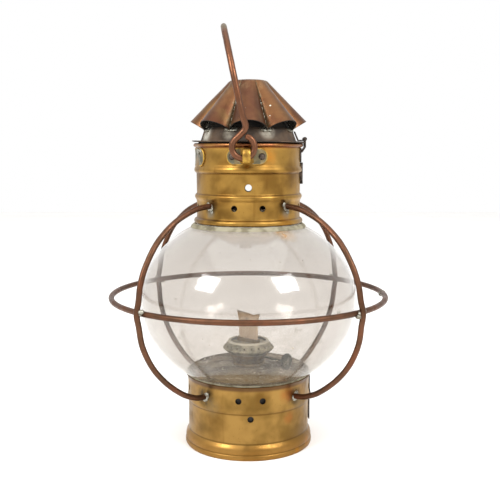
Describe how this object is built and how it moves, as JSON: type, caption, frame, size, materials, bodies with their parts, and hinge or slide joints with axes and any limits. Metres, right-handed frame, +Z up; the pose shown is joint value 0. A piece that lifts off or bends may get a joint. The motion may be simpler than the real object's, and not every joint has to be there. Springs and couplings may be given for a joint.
{
  "type": "ship lantern",
  "caption": "Onion-globe ship lantern with a brass base and band, blown glass globe, rod guard, hinged fluted lid, carrying bail and flat-wick oil burner on a drop-out font.",
  "frame": {"origin": "centre of the foot's bottom edge, on the surface that the lantern stands on", "axes": "+Z up, -Y to the front, +X to the lid's hinge; the bail is stored leaning 11.8 degrees towards -X"},
  "size_m": [0.2796, 0.2796, 0.4182],
  "materials": {
    "base_brass": "old brass with a dull hand-worn sheen and brown stains",
    "brass": "old brass with a dull sheen",
    "copper_rod": "brown tarnished copper rod, brighter where rubbed",
    "crown_copper": "brown copper sheet with grey solder in its valleys",
    "old_tin": "heat-browned tinned sheet",
    "plate_brass": "grey-green weathered brass plate",
    "rivet_iron": "dark tarnished rivet",
    "glass": "clear old blown glass, dirty low down",
    "putty": "dry olive-grey putty",
    "tank_tin": "dull dirty tinned sheet",
    "gallery_tin": "grey-green dull tinned brass",
    "bowl_brass": "dull brown brass",
    "knob_brass": "dark milled brass",
    "cotton": "woven cotton, charred at the top"
  },
  "bodies": {
    "frame": {"base_shell": "base_brass", "font_spring_front": "plate_brass", "font_spring_left": "plate_brass", "font_spring_right": "plate_brass", "globe_seat_lower": "putty", "upper_band": "brass", "globe_stop_ring": "old_tin", "globe": "glass", "shoulder_putty": "putty", "guard_ring": "copper_rod", "guard_rib_front_right": "copper_rod", "guard_rib_back_right": "copper_rod", "guard_rib_back_left": "copper_rod", "guard_rib_front_left": "copper_rod", "lug_plate_front": "plate_brass", "lug_plate_back": "plate_brass", "lug_staple_front": "plate_brass", "lug_staple_back": "plate_brass", "lug_rivet_front_left": "rivet_iron", "lug_rivet_front_right": "rivet_iron", "lug_rivet_back_left": "rivet_iron", "lug_rivet_back_right": "rivet_iron", "catch_plate": "plate_brass", "hinge_leaf_band": "plate_brass", "hinge_pin": "rivet_iron"},
    "lid": {"hinge_leaf_lid": "plate_brass", "lid_flange": "old_tin", "lid_spigot": "old_tin", "lid_cone": "old_tin", "crown": "crown_copper"},
    "bail": {"bail_handle": "copper_rod"},
    "font": {"font_tank": "tank_tin", "burner_collar": "bowl_brass", "burner_bowl": "bowl_brass", "burner_gallery": "gallery_tin", "wick_tube": "bowl_brass", "draught_plate": "gallery_tin"},
    "knob": {"wick_spindle": "knob_brass", "wick_wheel": "knob_brass", "wick_knob": "knob_brass"},
    "wick": {"wick": "cotton"}
  },
  "joints": [
    {"name": "lid_hinge", "type": "hinge", "parent": "frame", "child": "lid", "pos_m": [0.0556, 0, 0.3072], "axis": [0, 1, 0], "range_deg": [0, 110]},
    {"name": "bail_swing", "type": "hinge", "parent": "frame", "child": "bail", "pos_m": [-0.0046, 0, 0.299], "axis": [0, 1, 0], "range_deg": [-115, 120]},
    {"name": "font_drop", "type": "slide", "parent": "frame", "child": "font", "axis": [0, 0, -1], "range_m": [0, 0.135]},
    {"name": "knob_turn", "type": "hinge", "parent": "font", "child": "knob", "pos_m": [0.00315, 0.00375, 0.0879], "axis": [0.766, -0.6428, 0], "range_deg": [-100, 150]},
    {"name": "wick_lift", "type": "slide", "parent": "font", "child": "wick", "axis": [0, 0, 1], "range_m": [-0.009, 0.006]}
  ],
  "couplings": [
    {"joint": "wick_lift", "follows": "knob_turn", "m_per_rad": -0.00315}
  ]
}
